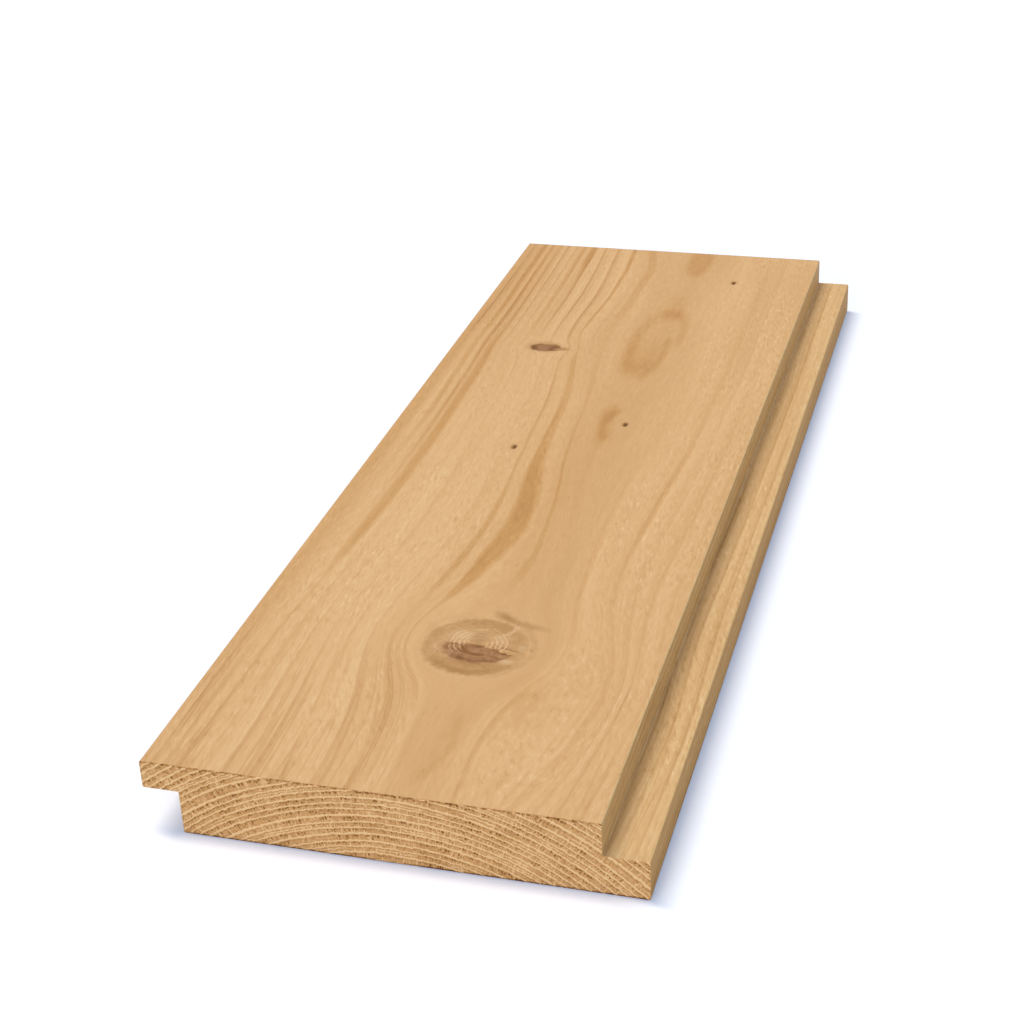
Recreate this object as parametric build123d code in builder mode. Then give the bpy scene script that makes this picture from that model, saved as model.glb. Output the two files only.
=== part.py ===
# A shiplap plank: one board of planed solid wood with a half-lap along each long edge.
# The upper lip on the left edge lies over the lower lip of the board before it.
# The lower lip on the right edge lies under the upper lip of the next board.
# X runs across the board, from the upper lip to the lower lip. Y runs along the grain.
# Z is up, out of the show face. The origin is on the flat back, midway along the board
# and midway across its overall width.

import os

from build123d import *

# Overall size of the planed board, in millimetres
board_width = 140.0
board_thickness = 22.0
board_length = 400.0

# Upper lip, left edge: what is left above the rebate that is cut into the back
upper_lip_width = 10.5
upper_lip_thickness = 8.5

# Lower lip, right edge: what is left below the rebate that is cut into the show face
lower_lip_width = 12.5
lower_lip_thickness = 12.0

# The moulder's knives ease each outer arris, and their worn tips leave a small round in each rebate
arris_radius = 0.5
rebate_corner_radius = 0.3

# The crosscut ends are sawn square, and their sharp edge is taken off with a few strokes of sandpaper
end_chamfer = 0.2

# Lines that the section is drawn on, across the board and up from the back
left_edge = -board_width / 2
right_edge = board_width / 2
back_left_edge = left_edge + upper_lip_width
face_right_edge = right_edge - lower_lip_width
upper_lip_underside = board_thickness - upper_lip_thickness

near_end = Plane.XZ.offset(board_length / 2)


def is_in_rebate(corner: Vertex) -> bool:
    """Six corners of the section lie on the board's outer lines, and the rest are inside a rebate."""
    across_inside = left_edge + arris_radius < corner.X < right_edge - arris_radius
    up_inside = arris_radius < corner.Y < board_thickness - arris_radius
    return across_inside and up_inside


with BuildPart() as plank:
    # The moulded section, as it shows on the near end
    with BuildSketch(near_end) as section:
        with BuildLine():
            Polyline(
                (left_edge, board_thickness),
                (left_edge, upper_lip_underside),
                (back_left_edge, upper_lip_underside),
                (back_left_edge, 0),
                (right_edge, 0),
                (right_edge, lower_lip_thickness),
                (face_right_edge, lower_lip_thickness),
                (face_right_edge, board_thickness),
                close=True,
            )
        make_face()

        rebate_corners = section.vertices().filter_by(is_in_rebate)
        fillet(rebate_corners, radius=rebate_corner_radius)
        outer_corners = section.vertices().filter_by(is_in_rebate, reverse=True)
        fillet(outer_corners, radius=arris_radius)

    # The moulder runs that section along the whole board
    extrude(amount=-board_length)

    # Both crosscut ends
    sawn_ends = plank.faces().filter_by(Axis.Y)
    chamfer(sawn_ends.edges(), length=end_chamfer)

plank.part.label = "plank"

os.makedirs("parts", exist_ok=True)
export_step(plank.part, "parts/plank.step")

print(f"plank: {plank.part.volume / 1000:.1f} cm3 of wood")
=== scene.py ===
import math
from functools import partial

import bpy
from mathutils import Matrix, Vector, geometry


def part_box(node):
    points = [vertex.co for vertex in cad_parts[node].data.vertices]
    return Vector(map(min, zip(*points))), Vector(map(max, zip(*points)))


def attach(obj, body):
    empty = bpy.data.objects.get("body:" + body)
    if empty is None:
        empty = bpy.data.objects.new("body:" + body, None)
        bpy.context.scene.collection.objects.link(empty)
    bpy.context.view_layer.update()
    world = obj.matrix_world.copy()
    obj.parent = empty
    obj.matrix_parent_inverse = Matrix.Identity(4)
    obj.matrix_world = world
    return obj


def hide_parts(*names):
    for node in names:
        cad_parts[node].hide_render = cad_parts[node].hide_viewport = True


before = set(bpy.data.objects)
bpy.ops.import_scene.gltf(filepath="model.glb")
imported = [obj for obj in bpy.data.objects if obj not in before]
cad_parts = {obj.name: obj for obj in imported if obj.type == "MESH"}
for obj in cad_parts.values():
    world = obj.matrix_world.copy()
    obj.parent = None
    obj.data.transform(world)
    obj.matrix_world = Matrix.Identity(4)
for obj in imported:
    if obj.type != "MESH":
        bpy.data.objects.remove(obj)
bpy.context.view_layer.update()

mm = 0.001      # sizes are in millimetres, and become metres where a mesh, a lamp or the camera takes them

# The section that the moulder leaves
board = {
    "upperLipWidth": 10.5,
    "upperLipThickness": 8.5,
    "lowerLipWidth": 12.5,
    "lowerLipThickness": 12.0,
    "arrisRadius": 0.5,
    "rebateRadius": 0.3,
    "endChamfer": 0.2,
}
low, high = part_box("plank")
leftEdge, nearEnd = low.x / mm, low.y / mm
rightEdge, farEnd, faceHeight = high.x / mm, high.y / mm, high.z / mm
backLeft = leftEdge + board["upperLipWidth"]
faceRight = rightEdge - board["lowerLipWidth"]
lipUnderside = faceHeight - board["upperLipThickness"]
lipTop = board["lowerLipThickness"]

# The tree that the board was sawn from. Its pith ran below the back, so the rings come out on the show
# face as lines that lie close at the sides and as wide flames along the middle
tree = {
    "pithDepth": 73.0,
    "pithAcross": 7.0,
    "ringWidth": 2.4,
    "ringEdge": 98.6,           # the radius of one ring's outer edge, and the others follow from it
    "waviness": 0.2,
    "waveScale": (0.045, 0.009, 0.045),     # waves about 20 mm apart across the grain and 110 mm along it
    "ridgeStep": 1.98,          # how far apart the ridges of the sawn end are, about their own middle
    "ridgeMiddle": 0.4,
    "tear": 0.13,
    "tearScale": 0.6,
    "ridgeDrift": 0.35,         # how uneven the ridges' spacing is, and how fast that changes
    "driftPerRidge": 0.37,
    "driftAcross": 0.008,
}
# The trunk grew crooked. For some lines of its grain: where each would run on the show face in a straight
# tree, and where it does run, at even steps from the near end to the far end
grainLines = {
    "leftStripe": (-55.0, [-58.3, -56.0, -54.0, -53.0, -52.7, -53.7, -54.3, -55.0, -56.0]),
    "besideBand": (-19.5, [-10.4, -11.5, -15.4, -14.9, -18.0, -20.5, -27.5, -27.0, -29.0]),
    "goldenBand": (-12.0, [-3.5, -4.2, -9.2, -5.3, -11.6, -14.2, -23.0, -21.0, -23.5]),
    "rightOfBand": (-5.0, [0.0, -1.0, 5.1, 4.7, -2.6, -7.2, -13.0, -12.5, -16.0]),
    "flames": (7.0, [5.0, 5.0, 11.0, 12.5, 8.0, 5.5, 7.5, 8.0, 8.5]),
    "nearRight": (22.0, [17.6, 15.9, 20.9, 22.0, 24.0, 27.0, 27.0, 27.0, 27.0]),
    "rightLine": (33.4, [32.3, 41.6, 33.0, 33.5, 37.0, 38.5, 38.0, 38.0, 38.0]),
    "farRight": (47.8, [44.5, 46.3, 43.7, 47.5, 50.0, 51.0, 51.5, 50.5, 51.0]),
}
faceRadius = faceHeight + tree["pithDepth"]

# Branches, each a cone from the pith out. Place and radius are those on the show face, height is how long
# the knot is for its width, and climb is how far the branch leans along the board. The grain parts round each
knots = {
    "main": {"place": (3.0, -125.2), "radius": 16.0, "height": 1.0, "climb": 0.05},
    "bark": {"place": (-33.5, 89.75), "radius": 5.0, "height": 0.7, "climb": 0.0},
    "pinFar": {"place": (26.3, 168.3), "radius": 1.2, "height": 1.5, "climb": 0.1},
    "pinMiddle": {"place": (12.1, 27.8), "radius": 1.2, "height": 1.5, "climb": 0.1},
    "pinLeft": {"place": (-22.1, 3.1), "radius": 1.1, "height": 1.5, "climb": 0.1},
}

knotColours = {
    "collar": "c39764", "brown": "a2743f", "rim": "d9ae7c", "heart": "b98f62", "pale": "e0bc90",
    "dead": "9f734a", "deadDark": "835629", "sound": "b58a60",
    "barkEdge": "b0844f", "bark": "956a3e", "barkCore": "a0754f", "barkDark": "754a1a", "barkRed": "7c4f2e",
    "pinHalo": "d2a772", "pinRing": "96652e", "pin": "5e3a12",
}
# What each knot shows, from the outside in. A patch: its middle from the knot's own and half its size in
# mm, how far it is turned, how soft its edge is, how much it covers, and its colour
patches = {
    "main": [
        ((-1.0, -0.5), (15.7, 15.3), 0, 0.08, 0.92, "collar"),
        ((4.2, -7.9), (9.8, 8.3), 0, 0.12, 0.7, "collar"),
        ((-1.0, 12.7), (9.0, 2.8), 0, 0.7, 0.3, "brown"),
        ((5.3, 10.6), (3.2, 2.6), 0, 0.7, 0.3, "brown"),
        ((-15.0, 6.0), (2.6, 5.0), 20, 0.8, 0.2, "brown"),
        ((-11.5, -0.8), (2.2, 5.0), 0, 0.8, 0.2, "pale"),
        ((-2.5, -13.7), (3.5, 1.7), 0, 0.8, 0.4, "brown"),
        ((0.5, -9.6), (9.6, 2.2), 0, 0.8, 0.45, "brown"),
        ((11.5, 6.0), (3.0, 6.0), 0, 0.8, 0.15, "brown"),
        ((12.7, 1.2), (1.3, 2.6), 10, 0.8, 0.35, "pale"),
        ((10.8, -9.8), (1.5, 2.5), -10, 0.8, 0.25, "brown"),
        ((-7.0, 4.2), (3.8, 3.2), 0, 0.8, 0.4, "pale"),
        ((5.4, 5.0), (2.8, 3.0), 0, 0.8, 0.35, "pale"),
        ((-3.5, 5.9), (3.0, 1.8), 0, 0.8, 0.4, "pale"),
        ((-0.9, 4.6), (2.6, 3.6), 0, 0.6, 0.8, "heart"),
        ((-1.5, 8.8), (2.6, 0.5), 15, 0.6, 0.45, "pale"),
        ((3.9, 17.0), (4.6, 1.9), -32, 0.9, 0.75, "brown"),         # a soft split outside the collar
        ((11.5, 13.8), (6.5, 1.7), -14, 0.9, 0.45, "brown"),
        ((8.4, 13.4), (0.5, 1.4), 10, 0.7, 0.5, "brown"),
        ((8.3, 11.4), (0.8, 2.3), -5, 0.7, 0.6, "pale"),
        ((7.1, 8.2), (0.8, 2.0), -30, 0.7, 0.45, "pale"),
        ((15.9, 0.9), (0.4, 0.5), 0, 0.6, 0.5, "deadDark"),
        ((9.2, -0.1), (4.6, 0.35), -13, 0.8, 0.7, "deadDark"),      # a crack past the dead wood
        ((-10.9, -5.4), (0.25, 1.0), 30, 0.6, 0.35, "deadDark"),
    ],
    "mainDead": [
        ((0.2, -1.7), (3.9, 1.8), 0, 0.3, 0.2, "sound"),
        ((-0.2, 0.1), (2.5, 0.7), 0, 0.7, 0.7, "deadDark"),
        ((8.3, -3.8), (2.2, 1.3), -20, 0.7, 0.7, "sound"),
        ((5.3, -2.8), (1.6, 1.0), 0, 0.8, 0.3, "sound"),
        ((6.6, -4.6), (2.2, 0.6), -10, 0.6, 0.5, "deadDark"),
        ((8.2, -2.0), (3.6, 0.5), -18, 0.8, 0.8, "deadDark"),
        ((-9.0, -2.2), (1.1, 1.9), 10, 0.6, 0.35, "deadDark"),
        ((-8.0, 0.4), (1.1, 0.8), 0, 0.6, 0.5, "deadDark"),
        ((-3.6, -7.2), (2.6, 1.1), -15, 0.8, 0.6, "deadDark"),
        ((-7.4, -5.0), (2.2, 1.5), -30, 0.8, 0.7, "sound"),
    ],
    "bark": [
        ((-0.3, 0.3), (7.6, 5.3), 0, 0.4, 0.55, "barkEdge"),
        ((0.0, 0.0), (6.1, 3.4), 0, 0.2, 1.0, "bark"),
        ((-2.4, -0.1), (3.5, 3.4), 0, 0.2, 1.0, "bark"),
        ((2.2, 0.1), (3.4, 3.3), 0, 0.2, 1.0, "bark"),
        ((-0.8, 0.1), (3.3, 2.2), 0, 0.5, 0.9, "barkCore"),
        ((-4.4, -0.5), (1.3, 2.2), 20, 0.5, 0.85, "barkDark"),
        ((3.6, -0.2), (2.7, 2.5), 20, 0.5, 0.95, "barkRed"),
        ((6.6, -0.6), (3.4, 1.7), 0, 0.6, 0.9, "barkEdge"),
        ((5.9, 2.9), (0.6, 2.0), 15, 0.8, 0.4, "pale"),
    ],
    "pin": [
        ((0.0, 0.2), (3.0, 4.0), 0, 0.6, 0.3, "pinHalo"),
        ((0.0, 0.4), (1.3, 1.8), 0, 0.5, 0.65, "pinRing"),
        ((0.0, 0.5), (0.8, 1.15), 0, 0.4, 0.85, "pin"),
    ],
}
# A curved line: the middle and half size of the ellipse that it lies on, which way its middle lies from
# there and how far it spreads, in degrees, its half width in mm, how much it covers, and its colour
curves = {
    "main": [
        ((-1.0, -0.3), (16.6, 15.9), 108, 60, 0.7, 0.55, "rim"),
        ((-1.0, -0.3), (16.8, 16.0), 180, 40, 0.9, 0.3, "rim"),
        ((-1.0, -0.3), (16.9, 16.6), 275, 60, 0.9, 0.5, "rim"),
        ((-1.0, -0.2), (17.6, 17.0), 8, 50, 1.8, 0.2, "brown"),
        ((-0.2, -0.5), (13.8, 13.5), 262, 55, 2.3, 0.5, "brown"),
        ((-1.0, 0.6), (12.0, 8.6), 250, 75, 0.5, 0.3, "pale"),
    ],
    "mainDead": [
        ((1.0, -2.3), (9.4, 5.5), 262, 60, 1.3, 0.6, "deadDark"),
        ((0.2, -1.4), (4.6, 2.5), 225, 90, 1.1, 0.95, "deadDark"),
        ((0.6, -1.5), (10.2, 7.4), 172, 22, 0.8, 0.4, "deadDark"),
        ((1.0, -1.5), (9.8, 6.0), 320, 35, 0.7, 0.5, "deadDark"),
    ],
}
# The main knot's own rings, pale and close together at the sides of its plain heart
knotRings = {
    "middle": (-0.5, 1.6), "step": 1.4, "first": 2.3, "last": 10.6, "cover": 0.95, "wobble": 0.15,
    "profile": [(0.0, 1.0), (0.15, 0.5), (0.3, 0.05), (0.7, 0.0), (0.85, 0.5), (1.0, 1.0)],
}
# The dead wood in the lower half of its heart: the ellipse that it fills, how far the knot is bent, how much
# its upper edge droops to the right, and how ragged that edge and its outline are. A pale chip lies beside it
deadWood = {
    "middle": (0.5, -1.3), "halfSize": (10.6, 7.6), "bend": (1.6, 1.6, 0.0), "droop": 0.028, "upperEdge": 0.9,
    "outline": 0.08, "chip": ((10.4, -6.4), (2.0, 1.3), 0, 0.9), "chipCover": 0.65,
}
barkPocket = {"middle": (0.0, 0.0), "halfSize": (6.0, 3.6), "outline": 0.1}

# Kinds of node, with the operation or the settings that go with each
mathNode, vectorNode, mixNode, mapping = (
    "ShaderNodeMath", "ShaderNodeVectorMath", "ShaderNodeMix", "ShaderNodeMapRange")
times, timesPlus, plus = (mathNode, "MULTIPLY"), (mathNode, "MULTIPLY_ADD"), (mathNode, "ADD")
minus, over, power = (mathNode, "SUBTRACT"), (mathNode, "DIVIDE"), (mathNode, "POWER")
larger, smaller, positive = (mathNode, "MAXIMUM"), (mathNode, "MINIMUM"), (mathNode, "ABSOLUTE")
wholePart, partLeft, bearing = (mathNode, "FLOOR"), (mathNode, "FRACT"), (mathNode, "ARCTAN2")
scaled, scaledPlus, allScaled = (vectorNode, "MULTIPLY"), (vectorNode, "MULTIPLY_ADD"), (vectorNode, "SCALE")
movedBy, movedBack, dividedBy = (vectorNode, "ADD"), (vectorNode, "SUBTRACT"), (vectorNode, "DIVIDE")
howLong, direction = (vectorNode, "LENGTH"), (vectorNode, "NORMALIZE")
dotProduct = (vectorNode, "DOT_PRODUCT")
mixNumbers, mixPlaces = (mixNode, {"data_type": "FLOAT"}), (mixNode, {"data_type": "VECTOR"})
mixColours = (mixNode, {"data_type": "RGBA"})
tinted = (mixNode, {"data_type": "RGBA", "blend_type": "MULTIPLY"})
# A map turns a run of values into 0 to 1, or into its last two numbers where it has them
mapNode, openMap = mapping, (mapping, {"clamp": False})
softMap = (mapping, {"interpolation_type": "SMOOTHSTEP"})
curveNode, rampNode = "ShaderNodeFloatCurve", "ShaderNodeValToRGB"
noiseNode, cellNode = "ShaderNodeTexNoise", "ShaderNodeTexVoronoi"
splitNode, joinNode, turnNode = "ShaderNodeSeparateXYZ", "ShaderNodeCombineXYZ", "ShaderNodeVectorRotate"
noiseSpan = (0.3, 0.7)      # nearly all of a noise's values lie between these


def srgb(code):     # sRGB hex to the linear colour that a socket takes
    parts = [int(code[i:i + 2], 16) / 255 for i in (0, 2, 4)]
    return tuple(c / 12.92 if c <= 0.04045 else ((c + 0.055) / 1.055) ** 2.4 for c in parts) + (1.0,)


def addNode(graph, kind, *inputs, points=(), named={}, **settings):
    # The inputs fill the open sockets in order: values, sockets, or nodes for their first output
    if isinstance(kind, tuple):
        kind, own = kind
        settings.update({"operation": own} if isinstance(own, str) else own)
    node = graph.nodes.new(kind)
    for name, value in settings.items():
        setattr(node, name, value)
    if kind == curveNode:
        curve = node.mapping.curves[0]
        for number, (x, y) in enumerate(points):
            if number < 2:
                curve.points[number].location = (x, y)
            else:
                curve.points.new(x, y)
        node.mapping.update()
    if kind == rampNode:
        stops = node.color_ramp.elements
        for number, (x, colour) in enumerate(points):
            stop = stops[number] if number < 2 else stops.new(x)
            stop.position, stop.color = x, colour
    openSockets = [socket for socket in node.inputs if socket.enabled]
    filled = list(zip(openSockets, inputs)) + [(node.inputs[name], value) for name, value in named.items()]
    for socket, value in filled:
        if isinstance(value, bpy.types.Node):
            value = next(output for output in value.outputs if output.enabled)
        if isinstance(value, bpy.types.NodeSocket):
            graph.links.new(value, socket)
        elif value is not None:
            socket.default_value = value
    return node


def startNodes(owner):
    # Clears the nodes of a world or a material, and gives what adds to them
    owner.use_nodes = True
    owner.node_tree.nodes.clear()
    return partial(addNode, owner.node_tree)


def reachFrom(add, spot, middle, halfSize, turned=0):
    # How far a spot on the face is from a middle, where 1 is the edge of an ellipse
    away = add(movedBy, spot, (-middle[0], -middle[1], 0.0))
    if turned:
        away = add(turnNode, away, None, math.radians(-turned), rotation_type="Z_AXIS")
    away = add(scaled, away, (1 / halfSize[0], 1 / halfSize[1], 0.0))
    return away, add(howLong, away)


def patchMask(add, spot, rough, middle, halfSize, turned, softness):
    # 1 inside an ellipse with a soft and slightly ragged edge, and 0 outside it
    _, reach = reachFrom(add, spot, middle, halfSize, turned)
    ragged = min(0.12, (0.25 + softness) / max(halfSize))
    reach = add(timesPlus, rough, ragged, reach)
    return add(softMap, reach, 1.0 + softness * 0.6, 1.0 - softness)


def lineMask(add, spot, rough, middle, halfSize, heading, spread, halfWidth):
    # 1 on part of an ellipse's edge, and 0 away from it
    away, reach = reachFrom(add, spot, middle, halfSize)
    reach = add(timesPlus, rough, min(0.04, 0.4 / max(halfSize)), reach)
    off = add(positive, add(minus, reach, 1.0))
    wide = halfWidth / min(halfSize)
    mask = add(softMap, off, wide, 0.1 * wide)
    heading, ends = math.radians(heading), math.cos(math.radians(spread))
    towards = add(dotProduct, add(direction, away), (math.cos(heading), math.sin(heading), 0.0))
    towards = add(softMap, towards, ends, ends + 0.6 * (1 - ends))
    return add(times, mask, towards)


def growWood(add, place):
    # Rings about the pith, as nodes. The relief and the finish both grow them, so they agree
    x, y, z = add(splitNode, place).outputs
    along = add(mapNode, y, nearEnd, farEnd)
    depth = add(openMap, z, -tree["pithDepth"], faceHeight)

    pith = tree["pithAcross"]
    wood = {"x": x, "y": y, "z": z, "along": along, "knots": {}}
    flat, flowX = add(joinNode, x, y, 0.0), x
    for name, knot in knots.items():
        knotX, knotY = knot["place"]
        climb = knot["climb"] * faceRadius
        middle = add(scaledPlus, depth, (knotX - pith, climb, 0), (pith, knotY - climb, 0))
        away = add(movedBack, flat, middle)
        spot = add(dividedBy, away, depth)      # in mm, as on the show face
        size = (1 / knot["radius"], 1 / (knot["radius"] * knot["height"]), 0)
        reach = add(howLong, add(scaled, spot, size))
        pull = add(power, add(larger, reach, 1.0), -2.0)        # 1 on the knot, and less and less outside it
        shift = add(times, add(splitNode, away), pull)
        flowX = add(minus, flowX, shift)
        wood["knots"][name] = {"spot": spot, "reach": reach}

    # Between two lines of the grain, a place is as far across as it would be in a straight tree
    straight = lastStraight = lastRun = -rightEdge * 1.1
    reach = 2 * rightEdge
    for home, runs in list(grainLines.values()) + [(-lastRun, [])]:
        run = home
        if runs:
            points = [(i / (len(runs) - 1), 0.5 + run / (2 * reach)) for i, run in enumerate(runs)]
            run = add(mapNode, add(curveNode, 1.0, along, points=points), 0.0, 1.0, -reach, reach)
        share = add(mapNode, flowX, lastRun, run, 0.0, home - lastStraight)
        straight = add(plus, straight, share)
        lastStraight, lastRun = home, run

    flow = add(joinNode, straight, y, z)
    wave = add(noiseNode, add(scaled, flow, tree["waveScale"]), 1.0, 2.0, 0.5)
    wave = add(openMap, wave, *noiseSpan, -tree["waviness"], tree["waviness"])
    across = add(minus, straight, pith)
    up = add(plus, z, tree["pithDepth"])
    radius = add(plus, add(howLong, add(joinNode, across, up, 0.0)), wave)
    count = add(over, add(minus, radius, tree["ringEdge"]), tree["ringWidth"])
    wood.update(flow=flow, across=across, radius=radius)
    wood["ring"] = add(wholePart, count)
    wood["part"] = add(partLeft, count)

    # The saw tears the end a little, and there the rings show as even ridges
    tear = add(noiseNode, place, tree["tearScale"], 3.0, 0.6)
    tear = add(openMap, tear, *noiseSpan, -tree["tear"], tree["tear"])
    fromMiddle = add(minus, x, tree["ridgeMiddle"])
    sawnRadius = add(plus, add(howLong, add(joinNode, fromMiddle, up, 0.0)), wave)
    sawn = add(plus, add(openMap, sawnRadius, 0.0, tree["ridgeStep"]), tear)
    drift = add(joinNode, add(times, sawn, tree["driftPerRidge"]), add(times, x, tree["driftAcross"]), 0.0)
    drift = add(noiseNode, drift, 1.0, 0.0)
    drift = add(openMap, drift, 0.2, 0.8, -tree["ridgeDrift"], tree["ridgeDrift"])
    sawn = add(plus, sawn, drift)
    wood["arc"] = add(times, add(bearing, fromMiddle, up), faceRadius)
    wood["ridge"] = add(wholePart, sawn)
    wood["ridgePart"] = add(partLeft, sawn)
    return wood


def markKnots(add, wood, place):
    # What is sunk: dead wood and bark, from 0 to 1, and how far off the pin knots are, where 1 is their edge
    marks = {}
    rough = add(noiseNode, place, 0.5, 3.0, 0.6)
    marks["rough"] = rough = add(openMap, rough, 0.25, 0.75, -1.0, 1.0)

    # The main knot is bent a little, and the lower half of its heart is dead
    bend = add(noiseNode, place, 0.3, 2.0, 0.5).outputs["Color"]
    bend = add(movedBy, bend, (-0.5, -0.5, -0.5))
    spot = add(scaledPlus, bend, deadWood["bend"], wood["knots"]["main"]["spot"])
    spotX, spotY, _ = add(splitNode, spot).outputs
    droop = add(power, add(larger, add(plus, spotX, 1.0), 0.0), 2.0)
    edge = add(timesPlus, droop, deadWood["droop"], spotY)
    edge = add(timesPlus, rough, deadWood["upperEdge"], edge)
    lower = add(softMap, edge, 1.0, 0.5)
    _, heart = reachFrom(add, spot, deadWood["middle"], deadWood["halfSize"])
    heart = add(timesPlus, rough, deadWood["outline"], heart)
    inside = add(softMap, heart, 1.2, 0.8)
    marks["dead"] = add(times, inside, lower)
    marks["main"] = spot

    _, lens = reachFrom(add, wood["knots"]["bark"]["spot"], barkPocket["middle"], barkPocket["halfSize"])
    lens = add(timesPlus, rough, barkPocket["outline"], lens)
    marks["sunk"] = add(softMap, lens, 1.1, 0.8)
    pins = wood["knots"]["pinFar"]["reach"]
    for name in ("pinMiddle", "pinLeft"):
        pins = add(smaller, pins, wood["knots"][name]["reach"])
    marks["pins"] = pins
    return marks


def newObject(name, data):
    thing = bpy.data.objects.new(name, data)
    bpy.context.scene.collection.objects.link(thing)
    return thing


# The photograph's camera: where it stands, which way it looks, and how it is rolled
view = {
    "place": (155.19, -586.51, 324.35),
    "azimuth": 16.893,
    "elevation": 28.050,
    "roll": 2.644,
    "lens": 69.03,
    "sensor": 36.0,
}
turn, tilt, roll = (math.radians(view[key]) for key in ("azimuth", "elevation", "roll"))
back = Vector((math.sin(turn) * math.cos(tilt), -math.cos(turn) * math.cos(tilt), math.sin(tilt)))
right = Vector((0, 0, 1)).cross(back).normalized()
up = back.cross(right)
rolledRight = right * math.cos(roll) - up * math.sin(roll)
rolledUp = right * math.sin(roll) + up * math.cos(roll)
camera = newObject("camera", bpy.data.cameras.new("camera"))
camera.data.lens = view["lens"]
camera.data.sensor_width = view["sensor"]
camera.data.clip_start = 0.01
camera.matrix_world = Matrix.Translation(Vector(view["place"]) * mm) @ Matrix(
    (rolledRight, rolledUp, back)).transposed().to_4x4()
bpy.context.scene.camera = camera

# Soft studio light: a long, narrow softbox above and to the left, a large one low in front, and pale light
# all round. On the floor they add up to plain white light, so colours render about as they are written
studio = {
    "lamps": {
        "key": {"from": (-0.32, 0.12, 1.0), "share": (0.52, 0.47, 0.405), "size": (2000.0, 6400.0)},
        "fill": {"from": (0.0, -1.0, 0.55), "share": (0.16, 0.155, 0.15), "size": (12000.0, 9000.0)},
    },
    "lampsAway": 12000.0,
    "lampsGain": 1.04,          # a softbox this wide gives that much less than a small one
    "allRound": (0.34, 0.39, 0.46),
    "floorSize": 12000.0,
    "floorBelow": 0.1,          # just clear of the back, so that the two never share a plane
    "floorSeen": "ffffff",
    "floorGlow": (0.03, 0.095, 0.21, 1.0),      # for camera rays alone: white paper with a bluish shadow
    "floorLit": "c8c0b0",       # what the paper sends back up to the board
}
for name, lamp in studio["lamps"].items():
    share, way = Vector(lamp["share"]), Vector(lamp["from"]).normalized()
    away = studio["lampsAway"] * mm
    softbox = bpy.data.lights.new(name, "AREA")
    softbox.shape = "RECTANGLE"
    softbox.size, softbox.size_y = (length * mm for length in lamp["size"])
    softbox.energy = max(share) * (math.pi * away) ** 2 / way.z * studio["lampsGain"]
    softbox.color = share / max(share)
    stand = newObject(name, softbox)
    stand.location = way * away
    stand.rotation_euler = way.to_track_quat("Z", "Y").to_euler()


def seenWhite(add):
    # 1 for the camera's rays, and for those that a glossy or a clear surface sends on
    path = add("ShaderNodeLightPath").outputs
    seen = add(larger, path["Is Camera Ray"], path["Is Glossy Ray"])
    return path["Is Camera Ray"], add(larger, seen, path["Is Transmission Ray"])


world = bpy.data.worlds.new("studio")
bpy.context.scene.world = world
add = startNodes(world)
_, seen = seenWhite(add)
skyColour = add(mixColours, seen, studio["allRound"] + (1.0,), (1.0, 1.0, 1.0, 1.0))
add("ShaderNodeOutputWorld", add("ShaderNodeBackground", skyColour, 1.0))

floorHalf, floorLevel = studio["floorSize"] / 2 * mm, -studio["floorBelow"] * mm
floorMesh = bpy.data.meshes.new("floor")
floorMesh.from_pydata([(x * floorHalf, y * floorHalf, floorLevel)
                       for x, y in ((-1, -1), (1, -1), (1, 1), (-1, 1))], [], [(0, 1, 2, 3)])
floor = newObject("floor", floorMesh)
paper = bpy.data.materials.new("white seamless paper")
add = startNodes(paper)
byCamera, seen = seenWhite(add)
paperColour = add(mixColours, seen, srgb(studio["floorLit"]), srgb(studio["floorSeen"]))
glow = add("ShaderNodeEmission", studio["floorGlow"], byCamera)
sheet = add("ShaderNodeAddShader", add("ShaderNodeBsdfDiffuse", paperColour, 0.0), glow)
add("ShaderNodeOutputMaterial", sheet)
floorMesh.materials.append(paper)
bpy.context.scene.view_settings.view_transform = "Standard"
print("stage: camera, lamps, world and floor")


# How fine the mesh is: coarse steps, and finer ones where a knot is
mesh = {
    "along": 2.4,
    "across": 1.5,
    "back": 2.2,
    "sides": 1.0,
    "end": 0.5,
    "endRows": 0.87,            # how far apart the end's rows of points are, as a share of their step
    "endClear": 0.45,           # how far those points keep off the outline, as a share of it
    "arc": 4,
    "support": 0.15,            # how far beyond each arris the first flat points are
    "sharpFrom": 35,            # degrees
}


def roundKnots(axis, most):
    # For each knot, its middle along an axis, half a width round it, and the step inside that
    return [(knot["place"][axis], knot["radius"] * (1, knot["height"])[axis] * 1.1 + 1,
             min(most, 0.4 * knot["radius"] + 0.05)) for knot in knots.values()]


def walk(start, end, step, fine=()):
    # Places from start to end. Each of fine is a middle, a half width and the step inside it
    way = 1 if end > start else -1
    places, here = [0.0], start
    while (end - here) * way > 0:
        size = min([step] + [small for middle, wide, small in fine if abs(here - middle) < wide])
        here += size * way
        places.append(abs(here - start))
    return [start + (end - start) * place / places[-1] for place in places]


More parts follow.
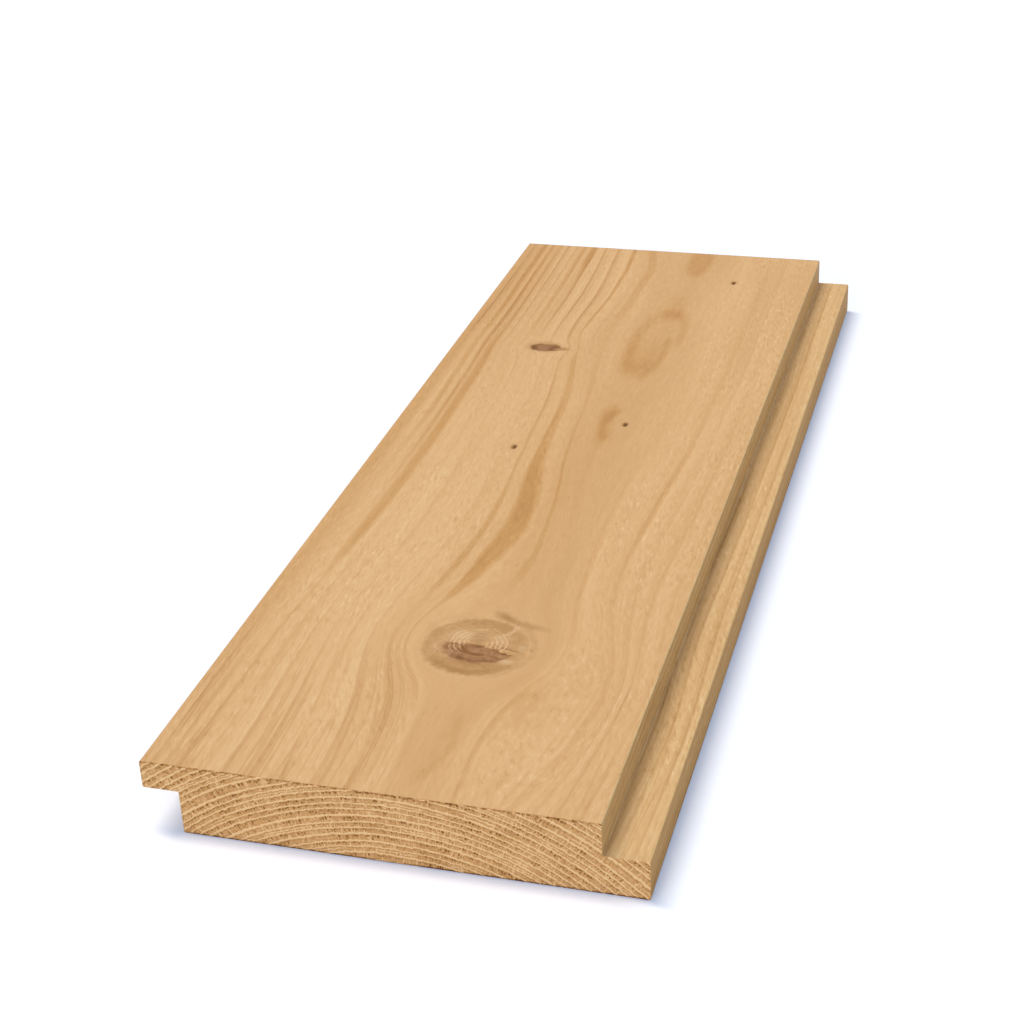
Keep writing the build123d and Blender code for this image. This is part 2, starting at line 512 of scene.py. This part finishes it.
def drawSection():
    # The section's outline from the upper lip's top corner, clockwise as the near end shows it
    corners = [     # a corner, its radius, the step of the run after it, and the finer places on that run
        ((leftEdge, faceHeight), "arrisRadius", mesh["across"], roundKnots(0, 0.9)),
        ((faceRight, faceHeight), "arrisRadius", mesh["sides"], ()),
        ((faceRight, lipTop), "rebateRadius", mesh["sides"], ()),
        ((rightEdge, lipTop), "arrisRadius", mesh["sides"], ()),
        ((rightEdge, 0.0), "arrisRadius", mesh["back"], ()),
        ((backLeft, 0.0), "arrisRadius", mesh["sides"], ()),
        ((backLeft, lipUnderside), "rebateRadius", mesh["sides"], ()),
        ((leftEdge, lipUnderside), "arrisRadius", mesh["sides"], ()),
    ]
    outline = []
    for number, (corner, radiusName, step, fine) in enumerate(corners):
        before = Vector(corners[number - 1][0])
        corner = Vector(corner)
        after = Vector(corners[(number + 1) % len(corners)][0])
        radius = board[radiusName]
        into, out = (corner - before).normalized(), (after - corner).normalized()
        centre = corner - into * radius + out * radius
        outer = into.x * out.y - into.y * out.x < 0     # a right turn, so an outer corner
        for i in range(mesh["arc"] + 1):
            angle = math.radians(90) * i / mesh["arc"]
            spoke = into * math.sin(angle) - out * math.cos(angle)
            outline.append((centre + spoke * radius, spoke if outer else -spoke))
        normal = Vector((-out.y, out.x))
        nextRadius = board[corners[(number + 1) % len(corners)][1]]
        start = corner + out * (radius + mesh["support"])
        end = after - out * (nextRadius + mesh["support"])
        axis = 0 if abs(out.x) > 0.5 else 1
        for place in walk(start[axis], end[axis], step, fine):
            point = start.copy()
            point[axis] = place
            outline.append((point, normal))
    return outline


def makeBoard():
    outline = drawSection()
    chamfer = board["endChamfer"]
    stations = walk(nearEnd + chamfer, farEnd - chamfer, mesh["along"], roundKnots(1, 0.8))
    count = len(outline)
    vertices = [(p.x, y, p.y) for y in stations for p, _ in outline]
    faces = []
    for row in range(len(stations) - 1):
        for i in range(count):
            j = (i + 1) % count
            faces.append((row * count + i, row * count + j, (row + 1) * count + j, (row + 1) * count + i))

    # Each sawn end: the outline drawn in by the chamfer, and filled with a fine even mesh
    rim = [p - normal * chamfer for p, normal in outline]
    step = mesh["end"]
    filling = []
    rows = int(faceHeight / (step * mesh["endRows"]))
    for row in range(rows + 1):
        z = faceHeight * (row + 0.5) / (rows + 1)
        left = leftEdge if z > lipUnderside else backLeft
        right = rightEdge if z < lipTop else faceRight
        x = left + chamfer + step * (0.8 + 0.5 * (row % 2))     # every second row starts half a step later
        while x < right - chamfer - step * 0.5:
            clear = chamfer + step * mesh["endClear"]
            near = min(faceHeight - z, z, abs(z - lipTop) if x > faceRight - clear else clear * 2,
                       abs(z - lipUnderside) if x < backLeft + clear else clear * 2)
            if near > clear:
                filling.append(Vector((x, z)))
            x += step
    points, _, triangles, *_ = geometry.delaunay_2d_cdt(rim + filling, [], [list(range(count))], 1, 1e-4)
    for y, wayOut, row in ((nearEnd, True, 0), (farEnd, False, len(stations) - 1)):
        base = len(vertices)
        vertices += [(p.x, y, p.y) for p in points]
        for a, b, c in triangles:
            turn = (points[b] - points[a]).cross(points[c] - points[a])
            second, third = (b, c) if (turn > 0) == wayOut else (c, b)
            faces.append((base + a, base + second, base + third))
        for i in range(count):
            j = (i + 1) % count
            side = (base + i, base + j, row * count + j, row * count + i)
            faces.append(side if wayOut else side[::-1])
    wood = bpy.data.meshes.new("planedBoard")
    wood.from_pydata([tuple(mm * value for value in vertex) for vertex in vertices], [], faces)
    return wood


boardMesh = makeBoard()
plank = newObject("planedBoard", boardMesh)
print("board: mesh of", len(boardMesh.vertices), "points")


# Planed oak, bare: knives leave it smooth and matte, with a faint sheen where fibres lie flat. Rings
# show as thin brown lines with a sharp outer edge, pores as short dark dashes, and the crosscut end as
# pale ridges between dark bands with open pores
oak = {
    # From dark pores to pale ridges. A tone is how light the wood looks, and 0.01 is one step of 255
    "tones": [(0.0, "6a4220"), (0.14, "87572a"), (0.28, "a1733f"), (0.46, "b48554"), (0.64, "c79963"),
              (0.73, "cfa36e"), (0.79, "d4a874"), (0.83, "d8ac78"), (0.90, "deb581"), (0.95, "e2bb89"),
              (1.0, "e7c290")],
    "plain": 0.85,
    "line": 0.19,               # how much darker a ring's edge is than plain wood
    "streak": 0.045,            # how much streaks, fibres and flecks are darker and paler
    "fibre": 0.04,
    "fleck": 0.075,
    "lipRows": 0.045,           # how much darker and paler rows are along the lips and sides
    "vein": 0.13,               # how much darker thin lines between the rings are
    "lean": 0.2,                # how far the flecks lean across the grain
    "flames": 0.06,             # how much darker the wide middle figure is
    "pore": 0.10,
    # From a ring's inner edge to its outer one: how dark its line is, how deep the sawn end's band is, and
    # the thin ridge of their own that some bands have
    "faceRing": [(0.0, 0.3), (0.04, 0.0), (0.3, 0.0), (0.6, 0.15), (0.8, 0.45), (0.9, 1.0), (0.97, 1.0),
                 (1.0, 0.3)],
    "endRing": [(0.0, 0.65), (0.05, 0.2), (0.11, 0.0), (0.20, 0.0), (0.29, 0.9), (0.5, 0.85), (0.7, 0.85),
                (0.92, 1.0), (1.0, 0.6)],
    "secondRidge": [(0.0, 0.0), (0.5, 0.0), (0.58, 1.0), (0.64, 1.0), (0.72, 0.0), (1.0, 0.0)],
    "endTones": (1.04, 0.577),  # ridge and band
    "endTint": (1.39, 1.41, 1.50, 1.0),         # torn fibre ends, paler and greyer than the planed sides
    "wallFinishAndLightTint": (1.02, 1.08, 1.03, 1.0),        # the rebates' walls: partly as their knives left them, partly a painted light tint
    "edgeFinishAndLightTint": (0.98, 0.94, 0.77, 1.0),        # the two long edges, tinted with painted warm light
    "lipPaintedLightTint": (1.01, 1.08, 1.11, 1.0),         # painted light on the lower lip's top, and on what faces down
    "goldTint": (1.0, 0.955, 0.84, 1.0),
    "goldFull": 0.2,            # a stain this dark has the whole of that tint
    "pit": 0.5,                 # how much darker an open pore of the sawn end is
    "ray": 0.28,                # how much paler a ray is
    "grit": 0.10,               # how much the sawn end's tone varies, in specks and in blotches
    "blotch": 0.07,
    "mottle": 0.12,             # and how much the knots' colour does
    "arris": 0.45,              # how much darker the sawn end's top and bottom edges are: torn fibres, with painted shade on them
    "paintedBottomShadow": 0.4,           # how much darker the sawn end is along its bottom edge: a painted contact shadow where it meets the floor
    "arrisHighlight": 0.14,            # how much paler the right arrises are: a painted highlight where they catch the light
    "fibreRelief": 0.04,        # in mm
    "sawnRelief": 0.05,
    "roughness": 0.62,
    "sawnRoughness": 0.78,
    "sheen": 0.2,
}
# How often each pattern repeats in a millimetre: across the grain, along it, and up. Real fibres are a tenth
# as wide as these, too fine to show, so they are drawn as coarse as they need to be
scales = {
    "rows": (0.55, 0.012, 0.55),
    "uneven": (0.35, 0.03, 0.35),       # how a strong ring's darkness varies
    "stains": (0.15, 0.05, 0.15),       # how the stains' edges wander
    "streak": (0.16, 0.008, 0.16),      # 3 to 8 mm wide
    "fibre": (1.4, 0.18, 1.4),          # 0.4 mm wide and 5 mm long
    "fleck": (1.0, 0.22, 1.0),          # 0.7 mm wide and 4 mm long
    "fleckPatch": (0.07, 0.03, 0.07),
    "vein": (0.42, 0.007, 0.42),
    "pore": (0.55, 0.12, 0.55),
    "planed": (1.2, 0.15, 1.2),         # the relief of the planed sides and of the sawn ends
    "sawn": (1.6, 1.6, 1.6),
}
# How clear the rings' lines are along the board, left and right of the flames
clearness = {
    "left": [(-200, 1.0), (-150, 0.8), (-115, 0.35), (-60, 0.2), (0, 0.25), (60, 0.3), (95, 0.45),
             (120, 1.0), (200, 1.0)],
    "right": [(-200, 0.7), (-150, 0.6), (-110, 0.3), (0, 0.3), (60, 0.25), (200, 0.25)],
}
# Rings that stand out on the show face: where each would run in a straight tree, how much darker it is,
# and its strength and half width at places along the board
strongRings = {
    "goldenBand": (-12.0, 0.235, [
        (-200, 0.0, 1.0), (-165, 0.0, 1.5), (-148, 0.3, 1.5), (-112, 0.3, 0.7), (-98, 0.8, 1.2),
        (-85, 1.0, 1.9), (-60, 1.0, 2.9), (-30, 1.0, 3.0), (0, 0.9, 2.0), (40, 0.7, 1.5), (78, 0.55, 1.2),
        (92, 0.3, 1.0), (120, 0.8, 0.7), (200, 1.0, 0.9)]),
    "besideBand": (-19.5, 0.16, [
        (-200, 0.5, 0.8), (-170, 0.45, 0.8), (-145, 0.5, 0.9), (-110, 0.15, 0.9), (-90, 0.8, 1.1),
        (-45, 0.9, 0.8), (0, 0.65, 0.6), (40, 0.85, 0.6), (80, 0.7, 0.6), (105, 0.6, 0.7), (130, 1.0, 0.7),
        (200, 1.0, 0.8)]),
    "rightOfBand": (-5.0, 0.12, [
        (-200, 0.0, 1.0), (-95, 0.0, 0.6), (-82, 0.8, 0.6), (-10, 1.0, 0.6), (25, 0.8, 0.6),
        (70, 0.35, 1.2), (110, 0.2, 1.3), (135, 0.9, 1.2), (200, 0.9, 1.2)]),
    "leftStripe": (-54.0, 0.18, [
        (-200, 0.3, 0.9), (-115, 0.1, 1.2), (-88, 0.3, 1.4), (-65, 0.9, 1.7), (0, 1.0, 1.8),
        (60, 1.0, 1.8), (95, 0.7, 1.7), (120, 0.4, 1.5), (200, 0.4, 1.5)]),
    "besideStripe": (-57.4, 0.17, [
        (-200, 0.1, 0.6), (-40, 0.1, 0.6), (15, 0.8, 0.6), (100, 1.0, 0.7), (200, 0.8, 0.8)]),
    "outerLeft": (-61.2, 0.15, [
        (-200, 0.1, 0.6), (-10, 0.1, 0.6), (40, 0.9, 0.8), (140, 1.0, 0.8), (200, 0.8, 0.8)]),
    "rightLine": (33.4, 0.10, [
        (-200, 0.5, 1.0), (-160, 0.4, 1.0), (-100, 0.1, 1.0), (-60, 0.5, 1.0), (-28, 1.0, 1.1),
        (0, 0.9, 1.0), (30, 0.45, 1.3), (90, 0.35, 1.3), (200, 0.1, 1.0)]),
    "farLeft": (-39.8, 0.15, [
        (-200, 0.1, 0.6), (85, 0.1, 0.6), (115, 0.6, 1.0), (140, 0.9, 1.2), (200, 1.0, 1.3)]),
    "nextLeft": (-34.0, 0.25, [
        (-200, 0.05, 0.6), (85, 0.05, 0.6), (115, 0.3, 0.8), (150, 0.5, 0.9), (172, 0.8, 1.3),
        (188, 1.0, 1.9), (200, 1.0, 1.9)]),
    "beforeKnot": (-27.0, 0.11, [
        (-200, 0.2, 0.6), (80, 0.1, 0.6), (100, 0.5, 0.6), (130, 1.0, 0.6), (200, 0.9, 0.7)]),
    "nearRight": (22.0, 0.12, [
        (-200, 0.8, 0.8), (-155, 0.8, 0.9), (-130, 0.2, 1.0), (-90, 0.45, 1.0), (-40, 0.25, 1.2),
        (0, 0.1, 1.0), (200, 0.1, 1.0)]),
}
# Soft golden stains where a ring just touches the face, and paler ones: middle, half size, how far it is
# turned, how soft its edge is, and how much darker it is
stains = [
    ((7.8, 130.0), (4.2, 7.0), 0, 0.8, 0.13), ((7.5, 140.0), (4.0, 12.0), 0, 1.0, 0.07),
    ((6.0, 97.0), (8.5, 27.0), 0, 0.4, 0.03), ((4.5, 88.0), (7.5, 18.0), 4, 1.0, 0.09),
    ((8.0, 76.5), (6.5, 7.5), 0, 0.9, 0.06), ((9.8, 71.0), (2.2, 7.0), -6, 0.9, 0.05),
    ((8.5, 190.0), (5.5, 19.0), 0, 0.4, 0.15), ((4.7, 34.0), (3.1, 9.0), 0, 0.9, 0.15),
    ((6.3, 18.5), (2.8, 8.5), 0, 0.9, 0.11), ((4.0, -172.0), (8.0, 22.0), 0, 0.4, 0.035),
    ((24.0, -150.0), (6.5, 14.0), 0, 1.0, 0.06), ((-68.0, 30.0), (4.0, 170.0), 0, 1.0, 0.12),
    ((-62.0, 170.0), (9.0, 75.0), 0, 1.0, 0.07), ((2.0, -30.0), (9.0, 75.0), 0, 1.0, 0.05),
    ((-36.0, -60.0), (16.0, 130.0), 0, 1.0, -0.045), ((-27.0, 150.0), (9.0, 60.0), 0, 1.0, -0.04),
    ((24.0, 150.0), (9.0, 45.0), 0, 1.0, -0.03), ((0.0, -185.0), (90.0, 50.0), 0, 1.0, -0.03),
]
# Lines round them: the middle and half size of the ellipse that each lies on, which way its middle lies
# from there and how far it spreads, in degrees, its half width, and how much darker it is
borders = [
    ((8.0, 101.0), (9.0, 30.5), 180, 85, 3.6, 0.09), ((6.0, 108.0), (10.0, 28.0), 24, 50, 3.0, 0.11),
    ((5.0, 92.0), (8.0, 24.0), 2, 45, 2.2, 0.09), ((2.0, -174.0), (8.0, 19.0), -15, 65, 2.0, 0.06),
    ((12.5, 26.5), (8.2, 15.0), 180, 70, 2.6, 0.08),
]


def makeRelief():
    # Sinks the dead knot wood, bark pocket, pin knots and the bands between the sawn end's ridges
    group = bpy.data.node_groups.new("wood relief", "GeometryNodeTree")
    add = partial(addNode, group)
    sizes = {"End Relief": 0.14, "Knot Depth": 0.30, "Pin Depth": 0.5}      # in mm
    kinds = {"Geometry": "Geometry", **{name: "Float" for name in sizes}, "Material": "Material"}
    for name, kind in kinds.items():
        socket = group.interface.new_socket(name, in_out="INPUT", socket_type="NodeSocket" + kind)
        if name in sizes:
            socket.default_value = sizes[name]
    group.interface.new_socket("Geometry", in_out="OUTPUT", socket_type="NodeSocketGeometry")
    given = add("NodeGroupInput").outputs

    place = add(allScaled, add("GeometryNodeInputPosition"), named={"Scale": 1 / mm})
    wood = growWood(add, place)
    marks = markKnots(add, wood, place)
    end = add(mapNode, add(positive, wood["y"]), farEnd - 0.05, farEnd - 0.02)      # not its chamfer
    band = add(curveNode, 1.0, wood["ridgePart"], points=oak["endRing"])
    endSink = add(times, add(times, band, given["End Relief"]), end)

    onFace = add(mapNode, wood["z"], faceHeight - 0.6, faceHeight - 0.1)
    crater = add(times, add(larger, marks["dead"], marks["sunk"]), given["Knot Depth"])
    pin = add(times, add(softMap, marks["pins"], 1.1, 0.5), given["Pin Depth"])
    knotSink = add(times, add(larger, crater, pin), onFace)
    sink = add(times, add(plus, endSink, knotSink), -mm)
    offset = add(allScaled, add("GeometryNodeInputNormal"), named={"Scale": sink})
    moved = add("GeometryNodeSetPosition", given["Geometry"], True, None, offset)
    real = add("GeometryNodeRealizeInstances", moved)
    painted = add("GeometryNodeSetMaterial", real, True, given["Material"])
    add("NodeGroupOutput", painted)
    return group


def finishOak():
    finish = bpy.data.materials.new("planed oak, bare")
    add = startNodes(finish)
    place = add(allScaled, add("ShaderNodeTexCoord").outputs["Object"], named={"Scale": 1 / mm})
    wood = growWood(add, place)
    marks = markKnots(add, wood, place)
    flow, across, along = wood["flow"], wood["across"], wood["along"]
    ridge, ridgePart, arc = wood["ridge"], wood["ridgePart"], wood["arc"]

    def pattern(name, detail, roughness, where=flow):
        return add(noiseNode, add(scaled, where, scales[name]), 1.0, detail, roughness)

    # Long grain: brown lines at the rings' outer edges, each as strong as its year was. That changes slowly
    # along the board, and differs left and right of the pith
    pithSide = add(softMap, across, -2.0, 2.0, 0.0, 7.0)
    year = add(joinNode, wood["ring"], add(times, wood["y"], 0.007), pithSide)
    year = add(noiseNode, year, 0.83, 1.0, 0.5)
    year = add(softMap, year, 0.38, 0.62, 0.15, 1.0)
    away = add(positive, across)
    year = add(times, year, add(softMap, away, 12.0, 20.0))
    onFace = add(mapNode, wood["z"], faceHeight - 1.5, faceHeight - 0.5)

    def alongBoard(places, column, most=1.0):
        # A curve through one column of a table of places along the board
        points = [((place[0] - nearEnd) / (farEnd - nearEnd), place[column] / most) for place in places]
        return add(curveNode, 1.0, along, points=points)

    clear = add(mixNumbers, add(mapNode, across, -2.0, 2.0),
                alongBoard(clearness["left"], 1), alongBoard(clearness["right"], 1))
    clear = add(mixNumbers, onFace, 1.0, clear)
    line = add(curveNode, 1.0, wood["part"], points=oak["faceRing"])
    line = add(times, line, add(times, year, clear))
    tone = add(timesPlus, line, -oak["line"], oak["plain"])
    plainer = add(mapNode, onFace, 0.0, 1.0, oak["lipRows"], 0.0)
    rows = add(openMap, pattern("rows", 2.0, 0.6, place), *noiseSpan, -0.4, 1.2)
    tone = add(timesPlus, rows, plainer, tone)

    slant = add(larger, add(times, away, 1 / faceRadius), 0.05)     # how fast the rings pass across the face
    uneven = add(mapNode, pattern("uneven", 3.0, 0.6), 0.35, 0.65, 0.75, 1.2)
    gold, widest = 0.0, 4.0
    for home, strength, places in strongRings.values():
        where = alongBoard(places, 1)
        width = add(times, alongBoard(places, 2, widest), widest)
        side = math.copysign(1.0, home - tree["pithAcross"])
        off = add(minus, wood["radius"], math.hypot(home - tree["pithAcross"], faceRadius))
        off = add(over, add(over, add(positive, off), slant), width)
        near = add(softMap, off, 1.25, 0.45, 0.0, -strength)
        onSide = add(softMap, across, -side * 2.0, side * 4.0)
        for factor in (where, onSide, uneven):
            near = add(times, near, factor)
        tone = add(plus, tone, near)
        gold = add(plus, gold, near)

    roughFlat = add(openMap, pattern("stains", 3.0, 0.6), *noiseSpan, -1.0, 1.0)
    flat = add(joinNode, wood["x"], wood["y"], 0.0)
    stained = 0.0
    for *shape, strength in stains:
        stained = add(timesPlus, patchMask(add, flat, roughFlat, *shape), -strength, stained)
    for *shape, strength in borders:
        stained = add(timesPlus, lineMask(add, flat, roughFlat, *shape), -strength, stained)
    stained = add(times, stained, onFace)
    tone = add(plus, tone, stained)
    gold = add(mapNode, add(plus, gold, stained), 0.0, -oak["goldFull"])

    # Broad streaks, and fibres, which are calm where the grain bends round the main knot
    for name in ("streak", "fibre"):
        noise = add(openMap, pattern(name, 2.0, 0.6), *noiseSpan, -oak[name], oak[name])
        if name == "fibre":
            calm = add(softMap, wood["knots"]["main"]["reach"], 1.0, 2.6, 0.35, 1.0)
            noise = add(times, noise, calm)
        tone = add(plus, tone, noise)

    # Flecks, dark ones and pale ones. They lean across the grain and come in patches, mostly at the right
    lean = add(splitNode, flow).outputs
    lean = add(joinNode, add(timesPlus, lean[1], oak["lean"], lean[0]), *lean[1:])
    fleck = pattern("fleck", 2.0, 0.6, lean)
    pale = add(softMap, fleck, 0.53, 0.75, 0.0, oak["fleck"])
    dark = add(softMap, fleck, 0.47, 0.25, 0.0, -1.2 * oak["fleck"])
    patch = add(mapNode, pattern("fleckPatch", 1.0, 0.5), 0.35, 0.65, 0.4, 1.5)
    share = add(mapNode, away, 8.0, 26.0, 0.35, 1.0)
    share = add(plus, share, add(mapNode, across, 10.0, 30.0, 0.0, 0.5))
    tone = add(plus, tone, add(times, add(plus, pale, dark), add(times, patch, share)))

    # Thin lines between the rings, where those are clear, and fewer of them towards the far end
    vein = add(positive, add(minus, pattern("vein", 1.0, 0.5), 0.5))
    vein = add(softMap, vein, 0.035, 0.005, 0.0, -oak["vein"])
    for factor in (add(times, clear, clear), add(mapNode, away, 12.0, 25.0),
                   add(mapNode, along, 0.15, 0.5, 1.0, 0.45)):
        vein = add(times, vein, factor)
    tone = add(plus, tone, vein)
    tone = add(plus, tone, add(softMap, away, 20.0, 6.0, 0.0, -oak["flames"]))

    # Pores, short dark dashes along the grain, a few in each ring
    pores = add(cellNode, add(scaled, flow, scales["pore"]), 1.0)
    chosen = add(splitNode, pores.outputs["Color"])
    dash = add(times, add(softMap, pores, 0.16, 0.06), add(mapNode, chosen, 0.62, 0.7))
    tone = add(timesPlus, dash, -oak["pore"], tone)

    # The sawn end: ridges between bands. Pores lie in rows along each band, and pale rays cross them
    band = add(curveNode, 1.0, ridgePart, points=oak["endRing"])
    between = add(joinNode, add(times, arc, 0.06), add(times, ridge, 3.7), 0.0)
    patch = add(noiseNode, between, 1.0, 1.0, 0.5)
    second = add(curveNode, 1.0, ridgePart, points=oak["secondRidge"])
    second = add(times, second, add(softMap, patch, 0.56, 0.66, 0.0, 0.8))
    band = add(minus, band, second, use_clamp=True)

    def openPores(perArc, up, jitter, size, chance):
        # Cells along the band, of which some hold a pit. The pits and their chances are given as for a map
        pits = add(cellNode, add(joinNode, add(times, arc, perArc), up, 0.0), 1.0, 0.0, 0.5, 2.0, jitter)
        chosen = add(splitNode, pits.outputs["Color"])
        return add(times, add(softMap, pits, *size), add(mapNode, chosen, *chance))

    row = add(plus, ridge, ridgePart)
    pit = openPores(1.25, add(times, row, 2.0), 0.6, (0.5, 0.28), (0.45, 0.7))
    below = add(timesPlus, ridge, 3.0, 0.5)     # a row of them just under the next ridge
    below = add(timesPlus, add(minus, ridgePart, 0.84), 2.3, below)
    rowPit = openPores(1.15, below, 0.55, (0.55, 0.3), (0.2, 0.6, 0.2, 1.15))
    rowPit = add(times, rowPit, add(mapNode, ridgePart, 0.55, 0.62))
    pit = add(times, add(larger, pit, rowPit), add(softMap, patch, 0.62, 0.48, 0.25, 1.0))
    pit = add(times, pit, band)
    rayPlace = add(joinNode, arc, add(timesPlus, row, 0.35, add(times, ridge, 0.6)), 0.0)
    ray = add(positive, add(minus, add(noiseNode, rayPlace, 0.9, 1.0, 0.5), 0.5))
    ray = add(softMap, ray, 0.04, 0.006)
    ridgeTone, bandTone = oak["endTones"]
    endTone = add(mapNode, band, 0.0, 1.0, ridgeTone, bandTone)
    endTone = add(timesPlus, pit, -oak["pit"], endTone)
    endTone = add(timesPlus, ray, oak["ray"], endTone)
    grit = add(noiseNode, place, 1.8, 3.0, 0.65)
    endTone = add(plus, endTone, add(openMap, grit, *noiseSpan, -oak["grit"], oak["grit"]))
    blotch = add(noiseNode, place, 0.12, 2.0, 0.6)
    endTone = add(plus, endTone, add(mapNode, blotch, *noiseSpan, -oak["blotch"], oak["blotch"]))
    fromMiddle = add(positive, wood["y"])
    end = add(mapNode, fromMiddle, farEnd - 0.25, farEnd - 0.12)
    tone = add(mixNumbers, end, tone, endTone)

    # Torn fibres with painted shade along the sawn end's edges, a painted shadow along its bottom edge, and a
    # painted highlight on the right arrises
    tornEdgeShading = add(noiseNode, place, 0.7, 2.0, 0.6)
    tornEdgeShading = add(mapNode, tornEdgeShading, 0.42, 0.55, 0.2, 1.0)
    tornEdgeShading = add(times, tornEdgeShading, add(softMap, fromMiddle, farEnd - 0.6, farEnd - 0.25))
    rimZ = add(positive, add(minus, wood["z"], faceHeight / 2))
    tornEdgeShading = add(times, tornEdgeShading, add(softMap, rimZ, faceHeight / 2 - 0.6, faceHeight / 2 - 0.2))
    # torn fibres and painted shade along the sawn end's top and bottom edges
    tone = add(timesPlus, tornEdgeShading, -oak["arris"], tone)
    # A painted contact shadow along the sawn end's bottom edge
    bottomShadow = add(softMap, wood["z"], 0.8, 0.2, 0.0, -oak["paintedBottomShadow"])
    tone = add(plus, tone, add(times, bottomShadow, end))
    # A painted highlight along the arrises that face up and to the right
    facing = add(splitNode, add("ShaderNodeTexCoord").outputs["Normal"]).outputs
    corner = add(softMap, add(times, facing[0], facing[2]), 0.2, 0.45, 0.0, oak["arrisHighlight"])
    tone = add(plus, tone, corner)

    # The tones become colours, and each side of the board has its tint. On the walls, the long edges and the
    # lip, that tint is partly painted light
    stops = [(x, srgb(code)) for x, code in oak["tones"]]
    colour = add(rampNode, tone, points=stops)
    side = add(positive, facing[0])
    outer = add(mapNode, add(positive, wood["x"]), faceRight + 2, faceRight + 6)
    sideFinishAndLightTint = add(mixColours, outer, oak["wallFinishAndLightTint"], oak["edgeFinishAndLightTint"])
    elsewhere = add(plus, add(plus, onFace, side), end)
    lip = add(minus, 1.0, elsewhere, use_clamp=True)
    gold = add(times, gold, add(timesPlus, end, -1.0, 1.0))
    # the side and lip tints are partly painted light, by which way each face looks
    for share, tint in ((side, sideFinishAndLightTint), (lip, oak["lipPaintedLightTint"]), (end, oak["endTint"]),
                        (gold, oak["goldTint"])):
        colour = add(tinted, share, colour, tint)
    colour = paintKnots(add, colour, wood, marks, place, onFace)

    # Relief too fine for the mesh, in mm: fibres along the board, and torn ones on the sawn ends
    stretch = add(mixPlaces, end, scales["planed"], scales["sawn"])
    fuzz = add(noiseNode, add(scaled, place, stretch), 1.0, 1.0, 0.6)
    height = add(times, fuzz, add(mapNode, end, 0.0, 1.0, oak["fibreRelief"], oak["sawnRelief"]))
    bump = add("ShaderNodeBump", named={"Distance": mm, "Height": height})
    roughness = add(mapNode, end, 0.0, 1.0, oak["roughness"], oak["sawnRoughness"])
    shader = add("ShaderNodeBsdfPrincipled", colour,
                 named={"Roughness": roughness, "Specular IOR Level": oak["sheen"], "Normal": bump})
    add("ShaderNodeOutputMaterial", shader)
    return finish


def paintKnots(add, colour, wood, marks, place, upper):
    # Lays each patch and line of a knot over the wood, on the show face, where upper is 1
    rough, dead, main = marks["rough"], marks["dead"], marks["main"]
    deadUpper = add(times, dead, upper)
    spots = {name: wood["knots"][name]["spot"] for name in knots}
    # What is laid: its patches' name, the place that they go by, and how far they may reach
    laid = [("main", main, upper), ("mainDead", main, deadUpper), ("bark", spots["bark"], upper)]
    laid += [("pin", spots[name], upper) for name in knots if name.startswith("pin")]

    def lay(mask, cover, within, name):
        mask = add(times, add(times, mask, cover), within)
        return add(mixColours, mask, colour, srgb(knotColours[name]))

    for part, spot, within in laid:
        if part == "mainDead":
            ring = paintRings(add, spot, rough)
            colour = lay(ring, knotRings["cover"], upper, "pale")
            left = add(softMap, add(splitNode, spot), -3.0, -5.0, 0.0, -0.7)
            left = add(timesPlus, left, ring, 1.0)
            within = add(times, within, left)       # pale rings go on through it at the left
            colour = lay(within, 1.0, 1.0, "dead")
        for *shape, cover, name in patches[part]:
            colour = lay(patchMask(add, spot, rough, *shape), cover, within, name)
        for *shape, cover, name in curves.get(part, []):
            colour = lay(lineMask(add, spot, rough, *shape), cover, within, name)
        if part == "mainDead":
            chip = patchMask(add, spot, rough, *deadWood["chip"])
            colour = lay(chip, deadWood["chipCover"], upper, "pale")

    # The knots' wood is mottled: its fibres stand on end
    within = add(softMap, wood["knots"]["main"]["reach"], 1.3, 0.8)
    barkWithin = add(softMap, wood["knots"]["bark"]["reach"], 1.3, 0.8)
    within = add(times, add(larger, within, barkWithin), upper)
    mottle = add(noiseNode, place, 0.55, 4.0, 0.7)
    mottle = add(openMap, mottle, *noiseSpan, -oak["mottle"], oak["mottle"])
    within = add(timesPlus, dead, 1.2, within)
    mottle = add(timesPlus, mottle, within, 1.0)
    shade = add(joinNode, mottle, mottle, mottle)
    return add(tinted, 1.0, colour, shade)


def paintRings(add, spot, rough):
    # Where the main knot's own rings show, from 0 to 1
    _, around = reachFrom(add, spot, knotRings["middle"], (1.0, 1.0))
    ripple = add(timesPlus, rough, knotRings["wobble"], around)
    ripple = add(partLeft, add(over, ripple, knotRings["step"]))
    ripple = add(curveNode, 1.0, ripple, points=knotRings["profile"])
    spotX, spotY, _ = add(splitNode, spot).outputs
    sides = add(timesPlus, spotY, -0.6, add(positive, spotX))
    sides = add(softMap, add(timesPlus, rough, 1.6, sides), 0.0, 3.0, 0.3, 1.0)
    above = add(softMap, spotY, -5.5, -2.5)
    first = add(softMap, around, knotRings["first"], knotRings["first"] + 0.7)
    last = add(softMap, around, knotRings["last"], knotRings["last"] - 2.5)
    for factor in (sides, above, first, last):
        ripple = add(times, ripple, factor)
    return ripple


oakFinish = finishOak()
relief = makeRelief()
modifier = plank.modifiers.new("relief", "NODES")
modifier.node_group = relief
for socket in relief.interface.items_tree:
    if socket.in_out == "INPUT" and socket.name == "Material":
        modifier[socket.identifier] = oakFinish
evaluated = plank.evaluated_get(bpy.context.evaluated_depsgraph_get())
worked = bpy.data.meshes.new_from_object(evaluated)
plank.modifiers.clear()
plank.data = worked
worked.name = "planedBoard"
worked.shade_smooth()
worked.set_sharp_from_angle(angle=math.radians(mesh["sharpFrom"]))
print("board: relief of ends and knots,", len(worked.polygons), "faces")

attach(plank, "root")
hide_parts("plank")
